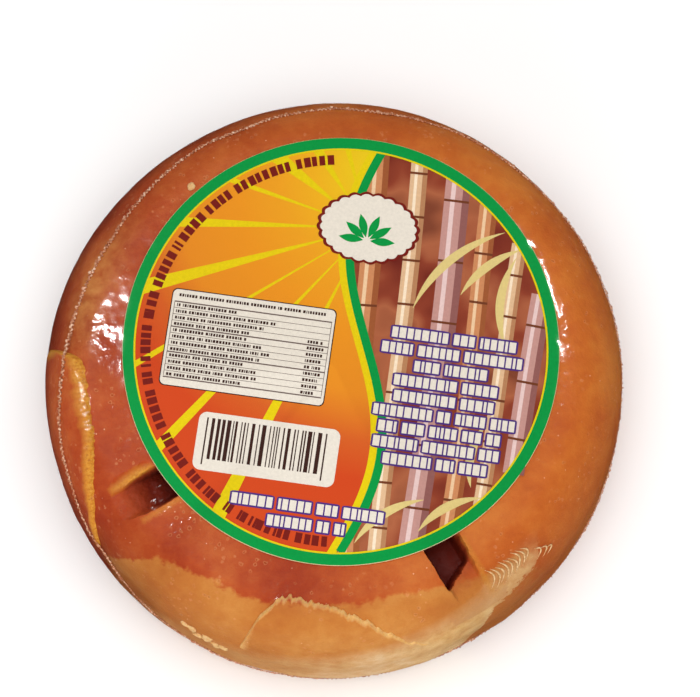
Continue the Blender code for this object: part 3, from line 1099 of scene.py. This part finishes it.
def ribbon(name, line, half_width, level):
    """A printed line that follows points on the label, its half width fixed or by its share."""
    corners = []
    last = len(line) - 1
    for index, (u, v) in enumerate(line):
        before = line[max(index - 1, 0)]
        after = line[min(index + 1, last)]
        along = Vector((after[0] - before[0], after[1] - before[1])).normalized()
        width = half_width(index / last) if callable(half_width) else half_width
        corners.append((u - along.y * width, v + along.x * width, 0))
        corners.append((u + along.y * width, v - along.x * width, 0))
    faces = [(2 * i, 2 * i + 1, 2 * i + 3, 2 * i + 2) for i in range(last)]
    return laid(built(name, corners, faces), level)


def leaf_width(widest, least):
    """The half width of a lens-shaped leaf along it."""
    return lambda share: widest * MM * math.sin(math.pi * min(share, 0.999)) + least * MM


def word_blocks(length, draw, letter, gap):
    """Splits a line of print into words of letter-sized blocks: lists of (start, width) pairs."""
    words = []
    at = 0.0
    while at < length - letter * 1.5:
        word = []
        for _ in range(draw.randint(2, 9)):
            width = letter * draw.choice((0.45, 0.85, 0.95, 1.0, 1.0, 1.15))
            if at + width > length:
                break
            word.append((at, width))
            at += width + gap
        if word:
            words.append(word)
        at += letter * 0.75
    return words


def print_lines(name, lines, height, level, draw, letter=1.15, gap=0.3, halo=0.0):
    """Lines of blocks that stand for print, or the halos of their words. A line is (centre u, v,
    length), in millimetres."""
    square = unit_square(name + "_block")
    if halo:
        edit(square, (bpy.ops.mesh.bevel, {"offset": 0.12, "segments": 4, "affect": "VERTICES"}))
    spots = []
    for centre_u, v, length in lines:
        for word in word_blocks(length, draw, letter, gap):
            whole = [(word[0][0], word[-1][0] + word[-1][1] - word[0][0])]
            for start, width in (whole if halo else word):
                u = centre_u - length / 2 + start + width / 2
                spots.append(block_at(u, v, width + halo, height + halo, level))
    piece = stamped(name, square, spots)
    bpy.data.objects.remove(square, do_unlink=True)
    return piece


def ink(name, colour):
    """Offset ink on coated paper: flat colour with a faint unevenness, under the film."""
    paint = Paint(name)
    shade = paint.share(paint.noise(0.6 * MM, 3.0), 0.3, 0.7, 0.94, 1.04)
    tinted = paint.add("ShaderNodeVectorMath", {0: srgb(colour)[:3], "Scale": shade}, operation="SCALE")
    return paint.finish_ink(tinted.outputs[0])


def sun_field_material():
    """The warm field's ink: a radial blend from yellow near the top to red-orange at the rim."""
    paint = Paint("ink_warm_blend")
    centre = label_matrix(8 * MM, 38 * MM).translation
    away = paint.add("ShaderNodeVectorMath", {0: paint.place, 1: tuple(centre)}, operation="DISTANCE")
    away = paint.product(away.outputs["Value"], 1 / (76 * MM))
    away = paint.math("MULTIPLY_ADD", paint.noise(0.6 * MM, 3.0), 0.012, away)
    return paint.finish_ink(paint.ramp(away, [
        (0.0, "#DDC806"), (0.13, "#E0BE19"), (0.25, "#E4A91B"), (0.34, "#E29B1D"), (0.46, "#E08F1C"),
        (0.62, "#DB861E"), (0.74, "#CB5B20"), (0.84, "#C84419"), (1.0, "#C9461B"),
    ]))


def earthy_field_material():
    """The ink of the field behind the cane: soft dark red-brown and maroon."""
    paint = Paint("ink_earthy_ground")
    return paint.finish_ink(paint.ramp(paint.noise(13 * MM, 2.0), [
        (0.3, "#6E2318"), (0.45, "#8C3D27"), (0.56, "#A9603F"), (0.7, "#7E402A"),
    ]))


# The stylised cane in the earthy field: foot u and v, lean in degrees, width, joint spacing, tone
CANE = [
    (7.5, -44, 94, 4.2, 11.0, 0), (13.0, -42, 92, 3.4, 9.0, 1), (19.4, -42, 90.5, 5.0, 12.5, 2),
    (25.6, -40, 90, 3.6, 10.0, 0), (30.6, -36, 88, 3.0, 8.5, 1), (36.0, -32, 87, 4.2, 11.5, 2),
]
# Each stripe of a stalk: place across it and half width as shares of its width, level, colours
CANE_STRIPES = {
    "tone": (0.0, 0.5, 2, ("#C8875A", "#D9B38C", "#BF8F86")),
    "shade": (-0.36, 0.14, 3, ("#9A5630", "#B27F58", "#8E5A55")),
    "light": (0.16, 0.09, 3, ("#E6C39B", "#F0DCC0", "#E0C3BE")),
}
CANE_JOINT_LEVEL = 3.6
# Leaves across the stalks: foot u and v, direction in degrees and length
CANE_LEAVES = [
    (13, 10, 74, 24), (22, 14, 66, 19), (32, 5, 116, 18), (8, -38, 66, 16), (20, -34, 62, 14),
    (29, -24, 110, 13),
]
INK_COLOURS = {
    "cream_white": "#E0D7C9", "leaf_green": "#00913F", "sun_yellow": "#DCC408",
    "maroon": "#741A12", "violet": "#4C2E78", "dark_brown": "#3A201A", "warm_grey": "#6B5A54",
}


def cut_to_disc(start, lean):
    """The stretch of a straight line from start that lies on the label's disc."""
    ahead = Vector((math.cos(lean), math.sin(lean)))
    inside = start.dot(ahead)
    half = math.sqrt(max(inside ** 2 - start.length_squared + DISC_REACH ** 2, 0))
    return ahead, -inside - half, -inside + half


def make_cane():
    """Stalks as flat stripes by kind and tone, with a shaded and a lit side, and ringed joints."""
    stripes = {kind: [[], [], []] for kind in CANE_STRIPES}
    joints = []
    for index, (u, v, lean, width, spacing, tone) in enumerate(CANE):
        start = Vector((u * MM, v * MM))
        ahead, low, high = cut_to_disc(start, math.radians(lean))
        low = max(low, 0)
        aside = Vector((-ahead.y, ahead.x))

        def point(reach, across):
            sway = 0.5 * MM * math.sin(reach / (17 * MM) + index)
            return tuple(start + ahead * reach + aside * (sway + across * width * MM))

        for kind, (across, half_width, level, _) in CANE_STRIPES.items():
            line = [point(low + (high - low) * step / 24, across) for step in range(25)]
            stripe = ribbon(f"cane_{kind}_{index}", line, half_width * width * MM, level)
            stripes[kind][tone].append(stripe)
        reach = low + spacing * MM * 0.6
        while reach < high - MM:
            ends = [point(reach, -0.5), point(reach, 0.5)]
            joints.append(ribbon(f"joint_{index}", ends, 0.24 * MM, CANE_JOINT_LEVEL))
            reach += spacing * MM
    return stripes, joints


def make_cane_leaves():
    """Long lens-shaped leaves across the stalks."""
    leaves = []
    for index, (u, v, turn, length) in enumerate(CANE_LEAVES):
        line = []
        for step in range(21):
            reach = length * step / 20
            bend = math.radians(turn - 26 * step / 20)
            line.append(((u + reach * math.cos(bend)) * MM, (v + reach * math.sin(bend)) * MM))
        line = [point for point in line if math.hypot(*point) < DISC_REACH]
        leaves.append(ribbon(f"cane_leaf_{index}", line, leaf_width(0.85, 0.03), 4.3))
    return join(leaves, "cane_leaves")


def make_rays():
    """Rays that widen from the medallion to the ring."""
    rays = []
    for step, degrees in enumerate((112, 130, 149, 168, 186, 203, 219, 235, 251)):
        ahead, _, far = cut_to_disc(SUN, math.radians(degrees))
        line = [tuple(SUN + ahead * (8 * MM + (far - 8 * MM) * k / 12)) for k in range(13)]
        widest = (0.5 + 0.45 * (step % 3)) * MM
        rays.append(ribbon(f"ray_{step}", line, lambda share, w=widest: 0.1 * MM + w * share, 6))
    return join(rays, "print_rays")


def make_medallion_leaves():
    """Six leaves that fan out from a foot in the medallion."""
    leaves = []
    for side in (-1, 1):
        for k in range(3):
            turn = math.radians(90 - side * (20 + 34 * k))
            line = []
            for step in range(17):
                reach = (0.7 + 4.9 * step / 16) * MM
                u = SUN.x + math.cos(turn) * reach
                v = SUN.y - 2.6 * MM + math.sin(turn) * reach
                line.append((u, v))
            leaves.append(ribbon(f"leaf_{side}_{k}", line, leaf_width(0.8, 0.02), 11))
    return join(leaves, "medallion_leaves")


def finish_piece(piece, made, slot, *replaced):
    """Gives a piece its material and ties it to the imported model."""
    piece.data.materials.clear()
    piece.data.materials.append(made)
    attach(piece, "root")
    if replaced:
        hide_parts(*replaced)


def print_on(piece, made):
    """Gives a printed shape its ink; it rides as the label does."""
    finish_piece(piece, made, "label_paper")


def make_paper():
    """The paper disc, with a slightly softened edge."""
    paper = spun("label_paper", [
        (0, PAPER_TOP), (LABEL_RADIUS - PAPER_EDGE, PAPER_TOP),
        (LABEL_RADIUS, PAPER_TOP - PAPER_EDGE_DROP),
        (LABEL_RADIUS, LABEL_LOW[2] + PAPER_EDGE_DROP),
        (LABEL_RADIUS - PAPER_EDGE, LABEL_LOW[2]), (0, LABEL_LOW[2]),
    ], 240)
    paper.data.transform(Matrix.Translation((*LABEL_CENTRE, 0)))
    return smooth_shaded(paper, 30)


def print_fields(inks):
    """The two colour fields, the cane, the rays, the wavy border and the rings."""
    field = laid(circle("field_earthy", 180, DISC_REACH, "NGON"), 1)
    print_on(field, earthy_field_material())
    stripes, joints = make_cane()
    for kind, (_, _, _, colours) in CANE_STRIPES.items():
        for number, pieces in enumerate(stripes[kind]):
            name = f"cane_{kind}_{number}"
            print_on(join(pieces, name), ink("ink_" + name, colours[number]))
    print_on(join(joints, "cane_joints"), ink("ink_cane_joint", "#6F3A22"))
    print_on(make_cane_leaves(), ink("ink_cane_leaf", "#D8C27E"))
    print_on(warm_field("field_warm", 5), sun_field_material())
    yellow, green = inks["sun_yellow"], inks["leaf_green"]
    print_on(make_rays(), yellow)
    print_on(ribbon("border_yellow", divider_line(-0.8 * MM), 0.8 * MM, 7), yellow)
    print_on(ribbon("border_green", divider_line(0.7 * MM), 0.85 * MM, 7.6), green)
    print_on(ring_band("ring_yellow", RING_INNER - RING_YELLOW, RING_OUTER, 8.3), yellow)
    print_on(ring_band("ring_green", RING_INNER, RING_OUTER, 9), green)


def print_panels(inks, draw):
    """A table panel with rules, and a panel of bars."""
    brown, white = inks["dark_brown"], inks["cream_white"]
    print_on(rounded_panel("panel_table_rim", -18.2, -2.3, 32.9, 19.8, 1.1, 8), brown)
    print_on(rounded_panel("panel_table", -18.2, -2.3, 32.5, 19.4, 1.0, 9), white)
    print_on(rounded_panel("panel_bars", -11.6, -22.1, 28, 11.6, 1.6, 9), white)

    square = unit_square("rule")
    rules = [
        block_at(-18.2, 4.9 - 1.28 * k, 31.5, 0.1 if k % 4 else 0.26, 10) for k in range(13)
    ]
    rules += [block_at(-18.2 + side * 15.7, -2.6, 0.12, 15.2, 10) for side in (-1, 1)]
    print_on(stamped("table_rules", square, rules), inks["warm_grey"])
    bars = []
    at = -24.0
    while at < -0.2:
        width = draw.choice((0.22, 0.3, 0.45, 0.62, 0.8))
        guard = at < -23.2 or at > -1.0 or abs(at + 12) < 0.5
        tall = 9.4 if guard else 8.2
        bars.append(block_at(at + width / 2, -17.4 - tall / 2, width, tall, 10))
        at += width + draw.choice((0.25, 0.35, 0.5, 0.7))
    print_on(stamped("code_bars", square, bars), brown)
    bpy.data.objects.remove(square, do_unlink=True)


def print_words(inks, draw):
    """Blocks that stand for the words in the table, on the fields and round the rim."""
    lines = []
    for row in range(12):
        length = draw.choice((9, 12, 15, 18, 20))
        v = 4.25 - 1.28 * row
        lines.append((-33.4 + length / 2, v, length))
        if row > 2:
            lines.append((-5.0, v, 3.4))
    lines.append((-18.2, 6.3, 30.0))
    print_on(print_lines("table_print", lines, 0.58, 10, draw, 0.42, 0.16), inks["dark_brown"])

    lengths = (26, 29, 15, 22, 21, 28, 25, 26, 21)
    lines = [(22.6 - 0.12 * k, 4.8 - 3.16 * k, length) for k, length in enumerate(lengths)]
    lines += [(-1.5, -32.4, 31), (-1.5, -35.8, 16)]
    state = draw.getstate()
    print_on(print_lines("word_halos", lines, 2.1, 9, draw, halo=0.75), inks["violet"])
    draw.setstate(state)
    print_on(print_lines("word_blocks", lines, 2.1, 10, draw), inks["cream_white"])

    square = unit_square("rim_block")
    spots = []
    radius = 38.6
    start = math.radians(101)
    for word in word_blocks(math.radians(176) * radius, draw, 1.15, 0.42):
        for at, width in word:
            turn = start + at / radius
            u, v = radius * math.cos(turn), radius * math.sin(turn)
            spots.append(block_at(u, v, 2.0, width, 8.0, turn))
    print_on(stamped("rim_print", square, spots), inks["maroon"])
    bpy.data.objects.remove(square, do_unlink=True)


def make_label():
    """The paper disc and its print, layer on layer."""
    draw = random.Random(21)
    finish_piece(make_paper(), ink("paper_coated_cream", "#EBDDB0"), "label_paper", "label")
    inks = {name: ink("ink_" + name, colour) for name, colour in INK_COLOURS.items()}
    print_fields(inks)
    print_panels(inks, draw)
    print_words(inks, draw)
    print_on(medallion("medallion_rim", 7.0 * MM, 0.45 * MM, 9), inks["maroon"])
    print_on(medallion("medallion", 6.5 * MM, 0.45 * MM, 10), inks["cream_white"])
    print_on(make_medallion_leaves(), inks["leaf_green"])


def floor_and_light():
    """A plain pale floor and soft studio light. The soft lights don't mirror in the film."""
    deselect()
    bpy.ops.mesh.primitive_plane_add(size=FLOOR_SIZE, location=(0, 0, 0))
    ground = named("floor")
    paint = Paint("floor_pale")
    shader = paint.principled({"Base Color": srgb("#FAF9F8"), "Roughness": 0.8})
    ground.data.materials.append(paint.finish(shader))
    ground.visible_glossy = False
    world = bpy.data.worlds.new("studio")
    bpy.context.scene.world = world
    world.use_nodes = True
    background = world.node_tree.nodes["Background"]
    background.inputs["Color"].default_value = srgb("#FFFFFF")
    background.inputs["Strength"].default_value = WORLD_STRENGTH
    world.cycles_visibility.glossy = False
    for name, (spot, width, height, power, soft) in LAMPS.items():
        light = bpy.data.lights.new(name, "AREA")
        light.shape = "ELLIPSE"
        light.size = width
        light.size_y = height
        light.energy = power
        lamp = bpy.data.objects.new(name, light)
        lamp.location = spot
        lamp.rotation_euler = Vector(spot).to_track_quat("Z", "Y").to_euler()
        lamp.visible_glossy = not soft
        lamp.visible_diffuse = soft
        bpy.context.scene.collection.objects.link(lamp)


def place_camera():
    """The photograph's view: from the front and high above, through a long lens."""
    back = Vector((0, -math.cos(CAMERA_ELEVATION), math.sin(CAMERA_ELEVATION)))
    camera = bpy.data.objects.new("camera", bpy.data.cameras.new("camera"))
    camera.location = CAMERA_TARGET + back * CAMERA_DISTANCE
    camera.rotation_euler = back.to_track_quat("Z", "Y").to_euler()
    camera.data.sensor_width = CAMERA_SENSOR
    camera.data.lens = CAMERA_LENS
    camera.data.clip_start = CAMERA_CLIP
    bpy.context.scene.collection.objects.link(camera)
    bpy.context.scene.camera = camera


def main():
    place_camera()
    floor_and_light()
    bpy.context.scene.view_settings.view_transform = "Standard"
    sugar = jaggery_material()
    loaf = make_loaf()
    crust = [make_crust(name, layer) for name, layer in CRUST_LAYERS.items()] + make_crumbs()
    film = make_film([loaf, *crust, bpy.data.objects["label"]])
    cut_grooves(loaf)
    paint_zones(loaf, broken=groove_crumbs(loaf), groove=groove_depths(loaf))
    for piece in [loaf, *crust]:
        finish_piece(piece, sugar, "jaggery", "jaggery_block")
    finish_piece(film, film_material(), "clear_film", "jaggery_block")
    melted = cloudy_film_material("trim_seal_cloudy", [
        (0.34, "#B8653F"), (0.5, "#D8926C"), (0.6, "#EDBD9B"), (0.72, "#FBE7D4"),
    ], 0.38, 0.9, 0.35)
    finish_piece(make_seal(film), melted, "clear_film", "jaggery_block")
    gathered = cloudy_film_material("film_pleat_cloudy", [
        (0.35, "#E3AE6C"), (0.65, "#F2D09E"),
    ], 0.6, 0.95, 0.6)
    finish_piece(make_pleats(film), gathered, "clear_film", "jaggery_block")
    make_label()


main()
